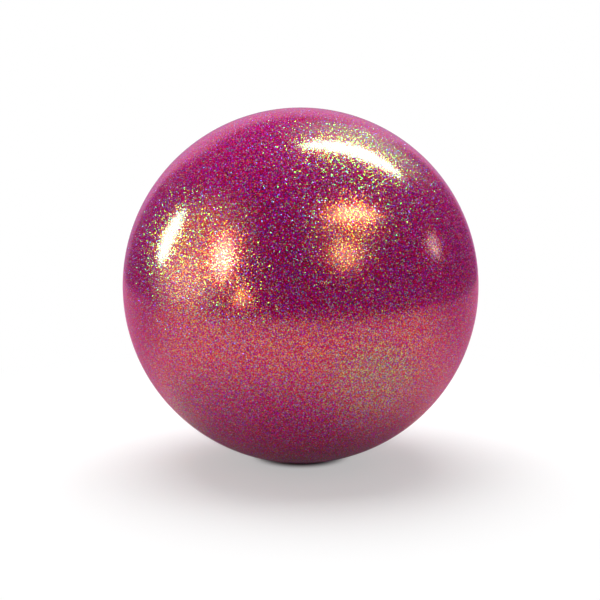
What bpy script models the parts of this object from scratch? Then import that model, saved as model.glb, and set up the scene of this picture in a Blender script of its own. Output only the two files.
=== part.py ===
"""Rhythmic gymnastics ball with a pull-out plug valve. Lengths are in metres, +Z is up.

The origin is the centre of the ball. The wall is turned about +Z in three layers: a moulded rubber
body, a skin that holds the glitter, and a clear gloss skin. Below, the wall lies flat on the floor
over a small disc, as the ball's own weight presses it. The valve points along +Y: a rubber bush
seated in the wall, and a ribbed plug that pulls straight out of it.
"""

import math

import bmesh
import bpy

# Ball and its wall
BALL_DIAMETER = 0.185
REST_FLAT_DIAMETER = 0.025
CLEAR_SKIN_THICKNESS = 0.0004
GLITTER_SKIN_THICKNESS = 0.0004
RUBBER_THICKNESS = 0.0024

# Valve bush
MOUTH_RECESS = 0.0003
MOUTH_LIP_WIDTH = 0.0017
MOUTH_BEVEL = 0.0005
FLANGE_WIDTH = 0.0065
FLANGE_THICKNESS = 0.0018
FLANGE_RIM_THICKNESS = 0.0008
TAIL_WALL = 0.0021
TAIL_LENGTH = 0.012
TAIL_BEVEL = 0.0008
BORE_MOUTH_DIAMETER = 0.0056
BORE_TIP_DIAMETER = 0.0044

# Valve plug
PLUG_HEAD_DIAMETER = 0.008
PLUG_HEAD_THICKNESS = 0.0016
PLUG_HEAD_BEVEL = 0.0003
PLUG_STEM_LENGTH = 0.015
PLUG_RIB_HEIGHT = 0.00035
PLUG_RIB_LENGTH = 0.0016
PLUG_RIB_SPACING = 0.0032
PLUG_RIB_COUNT = 3

# Clearance between pieces that touch or are bonded on the real ball
FIT_GAP = 0.0003

# Facets
BALL_SEGMENTS = 40
HALF_BALL_ARCS = 10
VALVE_SEGMENTS = 32
DISH_ARCS = 3
TIP_ARCS = 4
SMOOTH_ANGLE = math.radians(40)

# Values that follow from the sizes above
BALL_RADIUS = BALL_DIAMETER / 2
REST_HEIGHT = math.sqrt(BALL_RADIUS**2 - (REST_FLAT_DIAMETER / 2) ** 2)
GLITTER_DEPTH = CLEAR_SKIN_THICKNESS + FIT_GAP
RUBBER_DEPTH = GLITTER_DEPTH + GLITTER_SKIN_THICKNESS + FIT_GAP
INNER_RADIUS = BALL_RADIUS - RUBBER_DEPTH - RUBBER_THICKNESS
MOUTH_RADIUS = BALL_RADIUS - MOUTH_RECESS
HEAD_RADIUS = PLUG_HEAD_DIAMETER / 2
HEAD_RECESS_RADIUS = HEAD_RADIUS + FIT_GAP
NECK_RADIUS = HEAD_RECESS_RADIUS + MOUTH_LIP_WIDTH
HOLE_RADIUS = NECK_RADIUS + FIT_GAP
FLANGE_RADIUS = NECK_RADIUS + FLANGE_WIDTH
TAIL_RADIUS = BORE_MOUTH_DIAMETER / 2 + TAIL_WALL


def height_on_sphere(sphere_radius, radius):
    """Distance from the ball's centre, along a turning axis, of a sphere's surface at a radius."""
    return math.sqrt(sphere_radius**2 - radius**2)


# The rubber's inner wall is made of flat facets, which dip a little inside its true sphere.
FACET_DIP = INNER_RADIUS * (1 - math.cos(math.pi / BALL_SEGMENTS) * math.cos(math.pi / 4 / HALF_BALL_ARCS))
SEAT_RADIUS = INNER_RADIUS - FACET_DIP - FIT_GAP

# Heights along the valve axis, from the ball's centre outwards
HEAD_SEAT_HEIGHT = height_on_sphere(MOUTH_RADIUS, HEAD_RECESS_RADIUS) - PLUG_HEAD_THICKNESS - FIT_GAP
HEAD_UNDERSIDE_HEIGHT = HEAD_SEAT_HEIGHT + FIT_GAP
TAIL_ROOT_HEIGHT = height_on_sphere(SEAT_RADIUS, TAIL_RADIUS) - FLANGE_THICKNESS
TAIL_END_HEIGHT = TAIL_ROOT_HEIGHT - TAIL_LENGTH
STEM_END_HEIGHT = HEAD_UNDERSIDE_HEIGHT - PLUG_STEM_LENGTH


def clear_scene():
    for old in list(bpy.data.objects):
        bpy.data.objects.remove(old, do_unlink=True)


def add_empty(name, parent=None, rotation=(0, 0, 0)):
    empty = bpy.data.objects.new(name, None)
    empty.empty_display_size = FLANGE_RADIUS
    empty.rotation_euler = rotation
    empty.parent = parent
    bpy.context.collection.objects.link(empty)
    return empty


def add_object(name, form, parent):
    """Link the form as a named, smooth-shaded object under its parent."""
    mesh = bpy.data.meshes.new(name)
    form.to_mesh(mesh)
    form.free()
    mesh.shade_smooth()
    mesh.set_sharp_from_angle(angle=SMOOTH_ANGLE)
    piece = bpy.data.objects.new(name, mesh)
    piece.parent = parent
    bpy.context.collection.objects.link(piece)
    return piece


def set_finish(piece, colour, roughness, transmission=0.0):
    material = bpy.data.materials.new(piece.name)
    material.use_nodes = True
    shader = material.node_tree.nodes["Principled BSDF"]
    shader.inputs["Base Color"].default_value = (*colour, 1.0)
    shader.inputs["Roughness"].default_value = roughness
    shader.inputs["Metallic"].default_value = 0.0
    shader.inputs["Transmission Weight"].default_value = transmission
    piece.data.materials.append(material)


def turn(form, profile, segments, closed=False):
    """Turn (radius, height) points about Z into a surface that faces outwards, and give its faces."""
    before = set(form.faces)
    points = [form.verts.new((radius, 0.0, height)) for radius, height in profile]
    edges = [form.edges.new(pair) for pair in zip(points, points[1:])]
    if closed:
        edges.append(form.edges.new((points[-1], points[0])))
    bmesh.ops.spin(
        form,
        geom=points + edges,
        axis=(0, 0, 1),
        cent=(0, 0, 0),
        angle=math.tau,
        steps=segments,
        use_merge=True,
    )
    bmesh.ops.remove_doubles(form, verts=form.verts, dist=1e-6)
    faces = [face for face in form.faces if face not in before]
    bmesh.ops.recalc_face_normals(form, faces=faces)
    return faces


def turned_piece(name, profile, parent, closed=False):
    form = bmesh.new()
    turn(form, profile, VALVE_SEGMENTS, closed)
    return add_object(name, form, parent)


def wall_profile(depth):
    """Profile of the wall's surface at a depth below the outside: the rest flat, then round to the top."""
    radius = BALL_RADIUS - depth
    flat_height = REST_HEIGHT - depth
    flat_angle = math.acos(flat_height / radius)
    lower_arc = (math.pi / 2 - flat_angle) / HALF_BALL_ARCS
    upper_arc = math.pi / 2 / HALF_BALL_ARCS
    angles = [flat_angle + step * lower_arc for step in range(HALF_BALL_ARCS)]
    angles += [math.pi / 2 + step * upper_arc for step in range(HALF_BALL_ARCS)]
    profile = [(0.0, -flat_height)]
    profile += [(radius * math.sin(angle), -radius * math.cos(angle)) for angle in angles]
    profile.append((0.0, radius))
    return profile


def wall_layer(name, depth, thickness, hole, parent):
    """One layer of the ball's wall, pierced for the valve."""
    form = bmesh.new()
    turn(form, wall_profile(depth), BALL_SEGMENTS)
    inside = turn(form, wall_profile(depth + thickness), BALL_SEGMENTS)
    bmesh.ops.reverse_faces(form, faces=inside)
    layer = add_object(name, form, parent)
    cut = layer.modifiers.new("valve_hole", "BOOLEAN")
    cut.operation = "DIFFERENCE"
    cut.solver = "EXACT"
    cut.object = hole
    return layer


def valve_hole(parent):
    """Cutter for the round hole that all layers of the wall share."""
    profile = [
        (0.0, BALL_RADIUS + HOLE_RADIUS),
        (HOLE_RADIUS, BALL_RADIUS + HOLE_RADIUS),
        (HOLE_RADIUS, INNER_RADIUS - HOLE_RADIUS),
        (0.0, INNER_RADIUS - HOLE_RADIUS),
    ]
    cutter = turned_piece("valve_hole_cutter", profile, parent)
    cutter.hide_render = True
    cutter.display_type = "WIRE"
    return cutter


def bore_radius(height):
    """Radius of the bush's tapered bore, widest at the plug head's seat."""
    share = (height - TAIL_END_HEIGHT) / (HEAD_SEAT_HEIGHT - TAIL_END_HEIGHT)
    return (BORE_TIP_DIAMETER + share * (BORE_MOUTH_DIAMETER - BORE_TIP_DIAMETER)) / 2


def dish(sphere_radius, start, end):
    """Points on a sphere about the ball's centre, from one radius off the valve axis to another."""
    points = []
    for step in range(DISH_ARCS + 1):
        radius = start + (end - start) * step / DISH_ARCS
        points.append((radius, height_on_sphere(sphere_radius, radius)))
    return points


def valve_bush(parent):
    """Rubber bush: lip at the ball's surface, flange inside the wall, and a tail with the bore."""
    bevel_radius = HEAD_RECESS_RADIUS + MOUTH_BEVEL
    profile = dish(MOUTH_RADIUS, bevel_radius, NECK_RADIUS)
    profile += dish(SEAT_RADIUS, NECK_RADIUS, FLANGE_RADIUS)
    profile += [
        (FLANGE_RADIUS, height_on_sphere(SEAT_RADIUS, FLANGE_RADIUS) - FLANGE_RIM_THICKNESS),
        (TAIL_RADIUS, TAIL_ROOT_HEIGHT),
        (TAIL_RADIUS, TAIL_END_HEIGHT + TAIL_BEVEL),
        (TAIL_RADIUS - TAIL_BEVEL, TAIL_END_HEIGHT),
        (bore_radius(TAIL_END_HEIGHT), TAIL_END_HEIGHT),
        (bore_radius(HEAD_SEAT_HEIGHT), HEAD_SEAT_HEIGHT),
        (HEAD_RECESS_RADIUS, HEAD_SEAT_HEIGHT),
        (HEAD_RECESS_RADIUS, height_on_sphere(MOUTH_RADIUS, bevel_radius) - MOUTH_BEVEL),
    ]
    return turned_piece("valve_bush", profile, parent, closed=True)


def valve_plug(parent):
    """Tapered plug with a domed head and sealing ribs that follow the taper of the bore."""

    def rib_radius(height):
        return bore_radius(height) - FIT_GAP

    def stem_radius(height):
        return rib_radius(height) - PLUG_RIB_HEIGHT

    rim_radius = HEAD_RADIUS - PLUG_HEAD_BEVEL
    profile = dish(MOUTH_RADIUS, 0.0, rim_radius)
    profile += [
        (HEAD_RADIUS, height_on_sphere(MOUTH_RADIUS, rim_radius) - PLUG_HEAD_BEVEL),
        (HEAD_RADIUS, HEAD_UNDERSIDE_HEIGHT),
        (stem_radius(HEAD_UNDERSIDE_HEIGHT), HEAD_UNDERSIDE_HEIGHT),
    ]
    for rib in range(1, PLUG_RIB_COUNT + 1):
        crest = HEAD_UNDERSIDE_HEIGHT - rib * PLUG_RIB_SPACING
        toe = crest - PLUG_RIB_LENGTH
        profile += [
            (stem_radius(crest), crest),
            (rib_radius(crest), crest),
            (stem_radius(toe), toe),
        ]
    tip_radius = stem_radius(STEM_END_HEIGHT)
    tip_base = STEM_END_HEIGHT + tip_radius
    for step in range(TIP_ARCS):
        angle = math.pi / 2 * step / TIP_ARCS
        profile.append((tip_radius * math.cos(angle), tip_base - tip_radius * math.sin(angle)))
    profile.append((0.0, STEM_END_HEIGHT))
    return turned_piece("valve_plug", profile, parent)


def main():
    clear_scene()
    centre = add_empty("ball_centre")
    axis = add_empty("valve_axis", centre, rotation=(-math.pi / 2, 0, 0))
    hole = valve_hole(axis)

    clear_skin = wall_layer("clear_skin", 0.0, CLEAR_SKIN_THICKNESS, hole, centre)
    set_finish(clear_skin, (1.0, 1.0, 1.0), 0.05, transmission=1.0)

    glitter_skin = wall_layer("glitter_skin", GLITTER_DEPTH, GLITTER_SKIN_THICKNESS, hole, centre)
    set_finish(glitter_skin, (0.42, 0.03, 0.13), 0.3)

    rubber_body = wall_layer("rubber_body", RUBBER_DEPTH, RUBBER_THICKNESS, hole, centre)
    set_finish(rubber_body, (0.36, 0.03, 0.11), 0.6)

    set_finish(valve_bush(axis), (0.30, 0.02, 0.09), 0.55)
    set_finish(valve_plug(axis), (0.75, 0.35, 0.48), 0.4)


main()
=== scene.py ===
"""Looks of the rhythmic gymnastics ball: glitter skin under clear lacquer, rubber wall and plug valve."""

import math

import bmesh
import bpy
from mathutils import Matrix, Vector


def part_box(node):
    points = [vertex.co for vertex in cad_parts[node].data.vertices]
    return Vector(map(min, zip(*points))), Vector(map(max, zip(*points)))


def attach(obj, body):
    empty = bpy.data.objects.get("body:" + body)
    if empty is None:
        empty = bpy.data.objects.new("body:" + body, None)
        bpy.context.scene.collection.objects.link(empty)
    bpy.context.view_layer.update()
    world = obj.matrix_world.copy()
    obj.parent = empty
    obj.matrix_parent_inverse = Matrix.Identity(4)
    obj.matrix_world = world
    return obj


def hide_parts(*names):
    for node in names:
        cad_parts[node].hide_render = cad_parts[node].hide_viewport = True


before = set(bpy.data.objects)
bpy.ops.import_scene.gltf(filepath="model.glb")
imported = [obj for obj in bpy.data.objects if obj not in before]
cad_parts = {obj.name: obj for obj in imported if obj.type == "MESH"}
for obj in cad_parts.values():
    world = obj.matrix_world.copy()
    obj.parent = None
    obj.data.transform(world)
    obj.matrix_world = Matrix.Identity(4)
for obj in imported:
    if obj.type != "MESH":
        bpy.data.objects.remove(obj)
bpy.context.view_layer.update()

MM = 0.001

# Sizes read from the solids
skin_low, skin_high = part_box("clear_skin")
rubber_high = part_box("rubber_body")[1]
bush_low, bush_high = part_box("valve_bush")
plug_low, plug_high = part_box("valve_plug")
BALL_RADIUS = skin_high.z
FLOOR_HEIGHT = skin_low.z
FIT_GAP = 0.3 * MM
SKIN_THICKNESS = BALL_RADIUS - rubber_high.z - FIT_GAP

# Valve, whose axis is +Y: radii about the axis, and heights from the ball's centre
HEAD_TOP = plug_high.y
HEAD_RADIUS = plug_high.x
HEAD_THICKNESS = 1.6 * MM
STEM_END = plug_low.y
RIB_HEIGHT = 0.35 * MM
RIB_LENGTH = 1.6 * MM
RIB_SPACING = 3.2 * MM
RIB_COUNT = 3
RECESS_RADIUS = HEAD_RADIUS + FIT_GAP
LIP_WIDTH = 1.7 * MM
NECK_RADIUS = RECESS_RADIUS + LIP_WIDTH
HOLE_RADIUS = NECK_RADIUS + FIT_GAP
FLANGE_RADIUS = bush_high.x
FLANGE_SEAT_DEPTH = 4.7 * MM
FLANGE_THICKNESS = 1.8 * MM
FLANGE_RIM_THICKNESS = 0.8 * MM
TAIL_RADIUS = 4.9 * MM
TAIL_END = bush_low.y
BORE_MOUTH_RADIUS = 2.8 * MM
BORE_TIP_RADIUS = 2.2 * MM

# Facets and rounded edges
SKIN_SEGMENTS = 192
SKIN_ARCS = 96
VALVE_SEGMENTS = 96
VALVE_ARCS = 8
SHARP_ANGLE = math.radians(20)
WALL_EDGE = 0.25 * MM
PLUG_EDGE = 0.15 * MM
MERGE_DISTANCE = 0.001 * MM

# Camera, from the ball's outline in the photograph
IMAGE_SIDE_PX = 600
BALL_CENTRE_PX = (300.6, 285.6)
BALL_RADIUS_PX = 178.0
CAMERA_ELEVATION = math.radians(8.5)
LENS = 100.0
SENSOR = 36.0


def linear(hex_colour, alpha=1.0):
    """An sRGB hex colour as linear red, green and blue, with alpha."""
    channels = [int(hex_colour[place : place + 2], 16) / 255 for place in (0, 2, 4)]
    return (*[c / 12.92 if c <= 0.04045 else ((c + 0.055) / 1.055) ** 2.4 for c in channels], alpha)


def add_node(tree, kind, inputs, **settings):
    """Adds a node, makes its settings, and gives each input a value or another node's output.

    A Mix node takes numbers at its inputs 2 and 3, and colours at 6 and 7."""
    node = tree.nodes.new(kind)
    for name, value in settings.items():
        setattr(node, name, value)
    for key, value in inputs.items():
        if isinstance(value, bpy.types.NodeSocket):
            tree.links.new(value, node.inputs[key])
        else:
            node.inputs[key].default_value = value
    return node


def new_tree(holder):
    """The emptied node tree of a material, a lamp or the world."""
    holder.use_nodes = True
    holder.node_tree.nodes.clear()
    return holder.node_tree


def soft_share(tree, place, centre, start, end, least=0.0):
    """A share that goes smoothly from the least to 1 between two distances from a centre."""
    off = add_node(tree, "ShaderNodeVectorMath", {0: place, 1: centre}, operation="DISTANCE")
    share = add_node(
        tree,
        "ShaderNodeMapRange",
        {"Value": off.outputs["Value"], "From Min": start, "From Max": end, "To Min": least},
        interpolation_type="SMOOTHSTEP",
    )
    return share.outputs[0]


# Glitter. Each cell of the skin is one fleck: where its kind starts on a draw from 0 to 1, its colour,
# and how much of it is foil. Magenta lacquer; bright tinted matt dots, which are painted sparkle, glints
# drawn into the colour so that they show under any light; red and champagne foil that lies flat; and flakes
# that lean more and more, whose colours run from orange to violet as in a holographic foil.
# Real flakes are about 0.1 mm. These are drawn coarser, about half a pixel wide, so that they show.
FLECK_SIZE = 0.27 * MM
FLECKS = (
    (0.000, "980050", 0.00),
    (0.100, "DC0048", 0.00),
    (0.290, "FF0068", 0.00),
    (0.400, "80009C", 0.00),
    # painted sparkle: matt dots in glint colours, bright under any light
    (0.464, "8018FF", 0.00),
    (0.516, "6080FF", 0.00),
    (0.530, "70E0FF", 0.00),
    (0.536, "80F8B0", 0.00),
    (0.542, "FFB050", 0.00),
    (0.553, "A01028", 0.75),
    (0.680, "C83038", 0.75),
    (0.755, "F4DCC4", 1.00),
    (0.800, "F05838", 0.90),
    (0.845, "F08838", 1.00),
    (0.885, "F0C048", 1.00),
    (0.912, "C8E880", 1.00),
    (0.934, "60D8B8", 1.00),
    (0.952, "5898F0", 1.00),
    (0.970, "6058F0", 1.00),
    (0.985, "A048F0", 1.00),
)

# How far flecks lean: from which draw on, how steeply that grows, and the least and the most for foil
FIRST_LEANING = 0.70
LEAN_POWER = 4.0
LEAST_LEAN = 0.10
MOST_LEAN = 1.4
COAT_LEAN = 0.05


def holographic_glitter_lacquer():
    """Sprayed lacquer full of holographic foil: a deep magenta ground, flat foil that mirrors the room
    in red and champagne, flakes that flash where they lean towards a light, a clear coat over them that
    is a little uneven, and a pink edge."""
    material = bpy.data.materials.new("holographic_glitter_lacquer")
    tree = new_tree(material)
    place = add_node(tree, "ShaderNodeTexCoord", {}).outputs["Object"]
    cell = add_node(tree, "ShaderNodeTexVoronoi", {"Vector": place, "Scale": 1 / FLECK_SIZE}).outputs
    draw = add_node(tree, "ShaderNodeTexWhiteNoise", {"Vector": cell["Position"]}).outputs["Value"]
    fleck = add_node(tree, "ShaderNodeValToRGB", {"Fac": draw})
    ramp = fleck.color_ramp
    ramp.interpolation = "CONSTANT"
    for kind in FLECKS[1:-1]:
        ramp.elements.new(kind[0])
    for element, (start, colour, foil) in zip(ramp.elements, FLECKS):
        element.position = start
        element.color = linear(colour, foil)

    # most flecks lie flat, and the last flakes lean a lot
    leaning = add_node(
        tree,
        "ShaderNodeMapRange",
        {"Value": draw, "From Min": FIRST_LEANING, "From Max": 1.0},
    )
    few = add_node(tree, "ShaderNodeMath", {0: leaning.outputs[0], 1: LEAN_POWER}, operation="POWER")
    foil_lean = add_node(
        tree,
        "ShaderNodeMapRange",
        {"Value": few.outputs[0], "To Min": LEAST_LEAN, "To Max": MOST_LEAN},
    )
    middle = (0.5, 0.5, 0.5)
    way = add_node(tree, "ShaderNodeVectorMath", {0: cell["Color"], 1: middle}, operation="SUBTRACT")
    upright = add_node(tree, "ShaderNodeNewGeometry", {}).outputs["Normal"]
    normals = []
    for lean in (foil_lean.outputs[0], (COAT_LEAN, COAT_LEAN, COAT_LEAN)):
        tilted = add_node(
            tree,
            "ShaderNodeVectorMath",
            {0: way.outputs[0], 1: lean, 2: upright},
            operation="MULTIPLY_ADD",
        )
        unit = add_node(tree, "ShaderNodeVectorMath", {0: tilted.outputs[0]}, operation="NORMALIZE")
        normals.append(unit.outputs[0])
    foil_normal, coat_normal = normals
    shader = add_node(
        tree,
        "ShaderNodeBsdfPrincipled",
        {
            "Base Color": fleck.outputs["Color"],
            "Metallic": fleck.outputs["Alpha"],
            "Roughness": 0.17,
            "Specular IOR Level": 0.0,
            "Normal": foil_normal,
            "Sheen Weight": 0.32,
            "Sheen Roughness": 0.3,
            "Sheen Tint": linear("FF7CD3"),
            "Coat Weight": 0.92,
            "Coat Roughness": 0.02,
            "Coat IOR": 1.5,
            "Coat Normal": coat_normal,
        },
    )
    add_node(tree, "ShaderNodeOutputMaterial", {"Surface": shader.outputs[0]})
    return material


def moulded(name, dark, light, grain, roughest, smoothest):
    """A moulded skin: mottled between two colours, with a fine grain left by the mould.

    The mottle is five grains wide, and the grain's pores are a tenth of its width deep."""
    material = bpy.data.materials.new(name)
    tree = new_tree(material)
    place = add_node(tree, "ShaderNodeTexCoord", {}).outputs["Object"]
    mottle = add_node(tree, "ShaderNodeTexNoise", {"Vector": place, "Scale": 0.2 / grain, "Detail": 3.0})
    pores = add_node(tree, "ShaderNodeTexNoise", {"Vector": place, "Scale": 1 / grain, "Detail": 2.0})
    colour = add_node(
        tree,
        "ShaderNodeMix",
        {0: mottle.outputs["Fac"], 6: linear(dark), 7: linear(light)},
        data_type="RGBA",
    )
    rough = add_node(
        tree,
        "ShaderNodeMapRange",
        {"Value": pores.outputs["Fac"], "To Min": smoothest, "To Max": roughest},
    )
    bump = add_node(
        tree,
        "ShaderNodeBump",
        {"Height": pores.outputs["Fac"], "Strength": 0.3, "Distance": 0.1 * grain},
    )
    shader = add_node(
        tree,
        "ShaderNodeBsdfPrincipled",
        {
            "Base Color": colour.outputs[2],
            "Roughness": rough.outputs[0],
            "Normal": bump.outputs[0],
            "IOR": 1.52,
        },
    )
    add_node(tree, "ShaderNodeOutputMaterial", {"Surface": shader.outputs[0]})
    return material


def moulded_rubber():
    """Magenta rubber, coloured right through: matt, with a soft dull sheen."""
    return moulded("moulded_rubber", "8C1448", "A81C58", 0.3 * MM, 0.68, 0.52)


def moulded_vinyl():
    """Soft vinyl of the plug: paler than the ball, satin, from a smoother mould."""
    return moulded("moulded_vinyl", "D888A8", "E49CB8", 0.25 * MM, 0.44, 0.34)


def outline_corner(form, radius, height, before=None):
    """A corner of an outline that is to be turned about the valve's axis, joined to the one before it."""
    point = form.verts.new((radius, height, 0.0))
    if before:
        form.edges.new((before, point))
    return point


def arc(form, point, centre_height, angle, steps):
    """Carries an outline on from a point, round a centre on the valve's axis, and gives its end."""
    swept = bmesh.ops.spin(
        form,
        geom=[point],
        axis=(0, 0, -1),
        cent=(0, centre_height, 0),
        angle=angle,
        steps=steps,
    )
    return swept["geom_last"][0]


def turn(form, segments):
    """Turns the outline about the valve's axis into a round skin that faces outwards."""
    bmesh.ops.spin(
        form,
        geom=form.verts[:] + form.edges[:],
        axis=(0, 1, 0),
        cent=(0, 0, 0),
        angle=math.tau,
        steps=segments,
        use_merge=True,
    )
    bmesh.ops.remove_doubles(form, verts=form.verts, dist=MERGE_DISTANCE)
    bmesh.ops.recalc_face_normals(form, faces=form.faces)


def soften(form, width):
    """Rounds the sharp edges off, as a mould does."""
    bmesh.ops.bevel(
        form,
        geom=[edge for edge in form.edges if edge.calc_face_angle(0.0) > SHARP_ANGLE],
        offset=width,
        offset_type="OFFSET",
        affect="EDGES",
        segments=3,
        profile=0.5,
        material=-1,
        clamp_overlap=True,
    )


def add_piece(name, form, material):
    """Makes a finished form an object of the scene, at the origin."""
    mesh = bpy.data.meshes.new(name)
    form.to_mesh(mesh)
    form.free()
    mesh.shade_smooth()
    mesh.materials.append(material)
    piece = bpy.data.objects.new(name, mesh)
    bpy.context.scene.collection.objects.link(piece)
    return piece


def ball_skin():
    """The shiny skin: a thin round wall, pierced for the valve, and flat where the ball rests."""
    form = bmesh.new()
    hole_angle = math.asin(HOLE_RADIUS / BALL_RADIUS)
    lip = outline_corner(form, HOLE_RADIUS, BALL_RADIUS * math.cos(hole_angle))
    arc(form, lip, 0.0, math.pi - hole_angle, SKIN_ARCS)
    turn(form, SKIN_SEGMENTS)
    cut = bmesh.ops.bisect_plane(
        form,
        geom=form.verts[:] + form.edges[:] + form.faces[:],
        plane_co=(0, 0, FLOOR_HEIGHT),
        plane_no=(0, 0, -1),
        clear_outer=True,
    )
    rim = [part for part in cut["geom_cut"] if isinstance(part, bmesh.types.BMEdge)]
    bmesh.ops.edgeloop_fill(form, edges=rim)
    bmesh.ops.recalc_face_normals(form, faces=form.faces)
    bmesh.ops.solidify(form, geom=form.faces[:], thickness=SKIN_THICKNESS)
    soften(form, WALL_EDGE)
    return add_piece("ball_skin", form, holographic_glitter_lacquer())


def height_on_sphere(sphere_radius, radius):
    """Height along the valve's axis of a sphere's surface at a radius off the axis."""
    return math.sqrt(sphere_radius**2 - radius**2)


HEAD_UNDERSIDE = height_on_sphere(HEAD_TOP, RECESS_RADIUS) - HEAD_THICKNESS
HEAD_SEAT = HEAD_UNDERSIDE - FIT_GAP


def bore_radius(height):
    """Radius of the bush's tapered bore, widest at the seat of the plug's head."""
    share = (height - TAIL_END) / (HEAD_SEAT - TAIL_END)
    return BORE_TIP_RADIUS + share * (BORE_MOUTH_RADIUS - BORE_TIP_RADIUS)


def valve_bush(rubber):
    """Rubber bush: a lip flush with the ball, a flange under the wall, and a tail with the bore."""
    form = bmesh.new()
    seat_radius = BALL_RADIUS - FLANGE_SEAT_DEPTH
    flange_top = height_on_sphere(seat_radius, FLANGE_RADIUS)
    first = outline_corner(form, RECESS_RADIUS, height_on_sphere(HEAD_TOP, RECESS_RADIUS))
    last = first
    for radius, height in (
        (NECK_RADIUS, height_on_sphere(HEAD_TOP, NECK_RADIUS)),
        (NECK_RADIUS, height_on_sphere(seat_radius, NECK_RADIUS)),
        (FLANGE_RADIUS, flange_top),
        (FLANGE_RADIUS, flange_top - FLANGE_RIM_THICKNESS),
        (TAIL_RADIUS, height_on_sphere(seat_radius, TAIL_RADIUS) - FLANGE_THICKNESS),
        (TAIL_RADIUS, TAIL_END),
        (BORE_TIP_RADIUS, TAIL_END),
        (BORE_MOUTH_RADIUS, HEAD_SEAT),
        (RECESS_RADIUS, HEAD_SEAT),
    ):
        last = outline_corner(form, radius, height, last)
    form.edges.new((last, first))
    turn(form, VALVE_SEGMENTS)
    soften(form, WALL_EDGE)
    return add_piece("moulded_bush", form, rubber)


def valve_plug(vinyl):
    """Plug: a domed head that lies flush, and a tapered stem whose ribs seal against the bore."""
    form = bmesh.new()
    crown = outline_corner(form, 0.0, HEAD_TOP)
    rim = arc(form, crown, 0.0, math.asin(HEAD_RADIUS / HEAD_TOP), VALVE_ARCS)
    last = outline_corner(form, HEAD_RADIUS, HEAD_UNDERSIDE, rim)

    def rib_radius(height):
        return bore_radius(height) - FIT_GAP

    def stem_radius(height):
        return rib_radius(height) - RIB_HEIGHT

    last = outline_corner(form, stem_radius(HEAD_UNDERSIDE), HEAD_UNDERSIDE, last)
    for rib in range(1, RIB_COUNT + 1):
        crest = HEAD_UNDERSIDE - rib * RIB_SPACING
        toe = crest - RIB_LENGTH
        last = outline_corner(form, stem_radius(crest), crest, last)
        last = outline_corner(form, rib_radius(crest), crest, last)
        last = outline_corner(form, stem_radius(toe), toe, last)
    tip_radius = stem_radius(STEM_END)
    tip = outline_corner(form, tip_radius, STEM_END + tip_radius, last)
    arc(form, tip, STEM_END + tip_radius, math.pi / 2, VALVE_ARCS)
    turn(form, VALVE_SEGMENTS)
    soften(form, PLUG_EDGE)
    return add_piece("moulded_plug", form, vinyl)


def camera():
    """The photograph's view: a long lens, a little above the ball's middle."""
    data = bpy.data.cameras.new("camera")
    data.lens = LENS
    data.sensor_width = SENSOR
    focal_px = LENS / SENSOR * IMAGE_SIDE_PX
    distance = BALL_RADIUS / math.sin(math.atan(BALL_RADIUS_PX / focal_px))
    metres_per_px = distance / focal_px
    up = Vector((0, math.sin(CAMERA_ELEVATION), math.cos(CAMERA_ELEVATION)))
    right_px, up_px = (IMAGE_SIDE_PX / 2 - place for place in BALL_CENTRE_PX)
    target = Vector((right_px * metres_per_px, 0, 0)) - up * up_px * metres_per_px
    thing = bpy.data.objects.new("camera", data)
    bpy.context.scene.collection.objects.link(thing)
    thing.location = Vector((0, -math.cos(CAMERA_ELEVATION), math.sin(CAMERA_ELEVATION))) * distance
    thing.rotation_euler = (target - thing.location).to_track_quat("-Z", "Y").to_euler()
    bpy.context.scene.camera = thing


def seen_rays(tree):
    """1 for rays from the camera, a reflection or a see-through piece, and 0 for the rest."""
    path = add_node(tree, "ShaderNodeLightPath", {}).outputs
    seen = path["Is Camera Ray"]
    for other in (path["Is Glossy Ray"], path["Is Transmission Ray"]):
        seen = add_node(tree, "ShaderNodeMath", {0: seen, 1: other}, operation="MAXIMUM").outputs[0]
    return seen


# World. It lights the ball at one level from the front and at another from behind, and the ball's shine
# shows a dim room with an opening instead. An edge of the opening is an axis, and how far along it a
# heading is where the opening starts and where it is full.
AMBIENT_FRONT = 0.21
AMBIENT_BACK = 0.58
FRONT_HEADING = -0.3
BACK_HEADING = 0.6
ROOM = 0.025
OPENING = 0.62
OPENING_COLOUR = "FFC4EC"
OPENING_EDGES = (
    ("X", -0.50, -0.44),
    ("X", 0.40, 0.30),
    ("Z", 0.60, 0.52),
    ("Z", -0.30, 0.20),
    ("Y", 0.0, 0.1),
)


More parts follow.
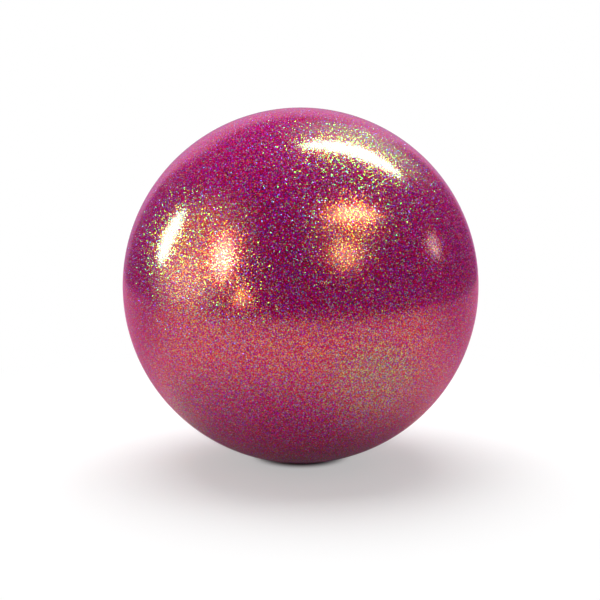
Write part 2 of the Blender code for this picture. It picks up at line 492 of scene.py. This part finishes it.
def studio_world():
    """White where it is seen. The shine shows a dim room, with a mauve opening behind the ball."""
    scene = bpy.context.scene
    scene.world = bpy.data.worlds.new("studio")
    tree = new_tree(scene.world)
    heading = add_node(tree, "ShaderNodeTexCoord", {}).outputs["Generated"]
    along = add_node(tree, "ShaderNodeSeparateXYZ", {0: heading}).outputs
    opening = 1.0
    for axis, outside, inside in OPENING_EDGES:
        side = add_node(
            tree,
            "ShaderNodeMapRange",
            {"Value": along[axis], "From Min": outside, "From Max": inside},
        )
        within = add_node(tree, "ShaderNodeMath", {0: side.outputs[0], 1: opening}, operation="MULTIPLY")
        opening = within.outputs[0]
    room = add_node(tree, "ShaderNodeMapRange", {"Value": opening, "To Min": ROOM, "To Max": OPENING})
    glossy = add_node(tree, "ShaderNodeLightPath", {}).outputs["Is Glossy Ray"]
    shown = add_node(tree, "ShaderNodeMix", {0: glossy, 2: 1.0, 3: room.outputs[0]})
    ambient = add_node(
        tree,
        "ShaderNodeMapRange",
        {
            "Value": along["Y"],
            "From Min": FRONT_HEADING,
            "From Max": BACK_HEADING,
            "To Min": AMBIENT_FRONT,
            "To Max": AMBIENT_BACK,
        },
    )
    level = add_node(tree, "ShaderNodeMix", {0: seen_rays(tree), 2: ambient.outputs[0], 3: shown.outputs[0]})
    tint = add_node(
        tree,
        "ShaderNodeMix",
        {0: glossy, 6: linear("FFFFFF"), 7: linear(OPENING_COLOUR)},
        data_type="RGBA",
    )
    light = add_node(
        tree,
        "ShaderNodeBackground",
        {"Color": tint.outputs[2], "Strength": level.outputs[0]},
    )
    add_node(tree, "ShaderNodeOutputWorld", {"Surface": light.outputs[0]})


# Floor. It is dark close to the flat that the ball rests on, pale in the shadow, and white further away.
FLOOR_RADIUS = 0.66
FLOOR_MIDDLE = (0, 0.2, FLOOR_HEIGHT)
FLOOR_SEGMENTS = 128
FLOOR_COLOUR = "EFEFEF"
BALL_FOOT = (0, 0, FLOOR_HEIGHT)
SHADOW_RADIUS = 0.10
SHADOW_WHITE = 0.45
WHITE_RADIUS = 0.30
CONTACT_RADIUS = math.sqrt(BALL_RADIUS**2 - FLOOR_HEIGHT**2)
CONTACT_DARK = 1.3 * CONTACT_RADIUS
CONTACT_END = 2.2 * CONTACT_RADIUS

# In the ball's shine the floor is painted reflection: dimmer, peach in front of the ball and dusky pink
# behind it, with painted shade in grey by its foot on the left, and a pale green glow in front of it on the
# right that is a painted reflection of a card.
MIRRORED_SHARE = 0.90
FRONT_TINT = "EDB69C"
FRONT_Y = -0.10
BACK_TINT = "9A4A66"
BACK_Y = 0.08
MIRRORED_SHADE_TINT = "98988C"
MIRRORED_SHADE_PLACE = (-0.035, -0.035, FLOOR_HEIGHT)
MIRRORED_SHADE_FULL = 0.05
MIRRORED_SHADE_END = 0.13
REFLECTED_GLOW_COLOUR = "B8FFB8"
REFLECTED_GLOW_STRENGTH = 1.1
REFLECTED_GLOW_PLACE = (0.105, -0.115, FLOOR_HEIGHT)
REFLECTED_GLOW_RADIUS = 0.11


def studio_floor():
    """Pale floor that keeps the ball's shadow and goes over to white away from it."""
    form = bmesh.new()
    bmesh.ops.create_circle(
        form,
        cap_ends=True,
        segments=FLOOR_SEGMENTS,
        radius=FLOOR_RADIUS,
        matrix=Matrix.Translation(FLOOR_MIDDLE),
    )
    material = bpy.data.materials.new("pale_floor")
    tree = new_tree(material)
    place = add_node(tree, "ShaderNodeTexCoord", {}).outputs["Object"]
    white_share = seen_rays(tree)
    for share in (
        soft_share(tree, place, BALL_FOOT, SHADOW_RADIUS, WHITE_RADIUS, SHADOW_WHITE),
        soft_share(tree, place, BALL_FOOT, CONTACT_DARK, CONTACT_END),
    ):
        both = add_node(tree, "ShaderNodeMath", {0: white_share, 1: share}, operation="MULTIPLY")
        white_share = both.outputs[0]
    lit = add_node(tree, "ShaderNodeBsdfDiffuse", {"Color": linear(FLOOR_COLOUR)})
    white = add_node(tree, "ShaderNodeEmission", {"Strength": 1.0})
    pale = add_node(
        tree,
        "ShaderNodeMixShader",
        {0: white_share, 1: lit.outputs[0], 2: white.outputs[0]},
    )

    # the floor in the ball's shine, all painted reflection: tints, painted shade and a painted glow
    depth = add_node(tree, "ShaderNodeSeparateXYZ", {0: place}).outputs["Y"]
    back = add_node(tree, "ShaderNodeMapRange", {"Value": depth, "From Min": FRONT_Y, "From Max": BACK_Y})
    tint = add_node(
        tree,
        "ShaderNodeMix",
        {0: back.outputs[0], 6: linear(FRONT_TINT), 7: linear(BACK_TINT)},
        data_type="RGBA",
    )
    # painted shade: a grey patch by the ball's foot, seen only in the ball's shine
    painted_shade_share = soft_share(tree, place, MIRRORED_SHADE_PLACE, MIRRORED_SHADE_END, MIRRORED_SHADE_FULL)
    shade = add_node(
        tree,
        "ShaderNodeMix",
        {0: painted_shade_share, 6: tint.outputs[2], 7: linear(MIRRORED_SHADE_TINT)},
        data_type="RGBA",
    )
    tinted = add_node(tree, "ShaderNodeBsdfDiffuse", {"Color": shade.outputs[2]})
    # painted reflection: a pale green glowing patch on the floor that stands for a card, seen only in the
    # ball's shine
    painted_glow_share = soft_share(tree, place, REFLECTED_GLOW_PLACE, REFLECTED_GLOW_RADIUS, 0.0)
    painted_glow = add_node(
        tree,
        "ShaderNodeEmission",
        {"Color": linear(REFLECTED_GLOW_COLOUR), "Strength": REFLECTED_GLOW_STRENGTH},
    )
    mirrored = add_node(
        tree,
        "ShaderNodeMixShader",
        {0: painted_glow_share, 1: tinted.outputs[0], 2: painted_glow.outputs[0]},
    )
    glossy = add_node(tree, "ShaderNodeLightPath", {}).outputs["Is Glossy Ray"]
    mirrored_share = add_node(tree, "ShaderNodeMath", {0: glossy, 1: MIRRORED_SHARE}, operation="MULTIPLY")
    shown = add_node(
        tree,
        "ShaderNodeMixShader",
        {0: mirrored_share.outputs[0], 1: pale.outputs[0], 2: mirrored.outputs[0]},
    )
    add_node(tree, "ShaderNodeOutputMaterial", {"Surface": shown.outputs[0]})
    floor = add_piece("floor", form, material)


def direction(azimuth, elevation):
    """Unit vector at an azimuth from +Y towards +X, and an elevation, in degrees."""
    across = math.radians(azimuth)
    up = math.radians(elevation)
    return Vector((math.sin(across) * math.cos(up), math.cos(across) * math.cos(up), math.sin(up)))


def lamp(
    name,
    azimuth,
    elevation,
    roll,
    size,
    radiance,
    colour="FFFFFF",
    distance=1.0,
    fade=0.0,
    gloss=True,
):
    """A flat lamp that faces the ball: angles in degrees, length, width and distance in metres.

    One with a fade is oval and dims towards its edge. One with gloss only shows in the ball's shine,
    and one without it only lights the scene."""
    length, width = size
    area = length * width
    data = bpy.data.lights.new(name, "AREA")
    data.shape = "RECTANGLE"
    data.size = length
    data.size_y = width
    data.color = linear(colour)[:3]
    if fade:
        area *= math.pi / 4
        data.shape = "ELLIPSE"
        tree = new_tree(data)
        spot = add_node(tree, "ShaderNodeNewGeometry", {}).outputs["Parametric"]
        level = soft_share(tree, spot, (0.5, 0.5, 0), 0.5, 0.5 - fade)
        glow = add_node(tree, "ShaderNodeEmission", {"Strength": level})
        add_node(tree, "ShaderNodeOutputLight", {0: glow.outputs[0]})
    data.energy = radiance * math.pi * area
    thing = bpy.data.objects.new(name, data)
    bpy.context.scene.collection.objects.link(thing)
    out = direction(azimuth, elevation)
    across = Vector((0, 0, 1)).cross(out).normalized()
    turned = math.radians(roll)
    side = math.cos(turned) * across + math.sin(turned) * out.cross(across)
    facing = Matrix((side, out.cross(side), out)).transposed().to_4x4()
    thing.matrix_world = Matrix.Translation(out * distance) @ facing
    thing.visible_camera = False
    thing.visible_glossy = gloss
    thing.visible_diffuse = not gloss


def studio_lamps():
    """Two crisp strips, soft glows with wide faint halos round them, and one lamp overhead for the light."""
    cool = "A0FFC8"
    pale = "FFF0A8"
    strip = 26
    crisp = 0.15
    soft = 0.5
    lamp("top_strip", 49.2, 62.2, 62.1, (0.92, 0.20), strip, cool, fade=crisp)
    lamp("left_strip", -81.3, 19.5, 90, (0.48, 0.22), strip, cool, fade=crisp)
    lamp("left_glow", -129.4, 20.8, -75, (0.60, 0.36), 17, "FFF4CC", fade=soft)
    lamp("left_tail", -144.6, 0.6, 0, (0.24, 0.26), 11, "FFD880", fade=soft)
    lamp("right_glow", 134.5, 47.5, -16, (0.78, 0.25), 16, pale, fade=soft)
    lamp("small_glow", 150.5, 25.2, -7, (0.50, 0.42), 5.6, pale, fade=soft)
    lamp("far_right", 83.0, 15.5, -18, (0.26, 0.24), 2.5, fade=0.3)
    lamp("top_halo", 32, 50, 62, (1.20, 0.80), 1.7, cool, fade=soft)
    lamp("left_halo", -112, 26, 0, (1.50, 1.20), 1.4, "FFE0A0", fade=soft)
    lamp("right_halo", 146, 40, 0, (1.00, 0.90), 0.6, "FFF0B0", fade=soft)
    lamp("left_fill", -104, 4, 0, (1.30, 0.80), 2.2, "FFF8D8", fade=soft)
    lamp("overhead", -12, 72, 0, (1.60, 1.60), 4.5, distance=1.5, gloss=False)


camera()
studio_world()
studio_floor()
studio_lamps()

rubber = moulded_rubber()
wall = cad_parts["rubber_body"]
wall.data.materials.clear()
wall.data.materials.append(rubber)

skin = ball_skin()
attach(skin, "ball")
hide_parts("clear_skin", "glitter_skin")

bush = valve_bush(rubber)
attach(bush, "ball")
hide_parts("valve_bush")

plug = valve_plug(moulded_vinyl())
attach(plug, "plug")
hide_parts("valve_plug")

bpy.context.scene.view_settings.view_transform = "Standard"
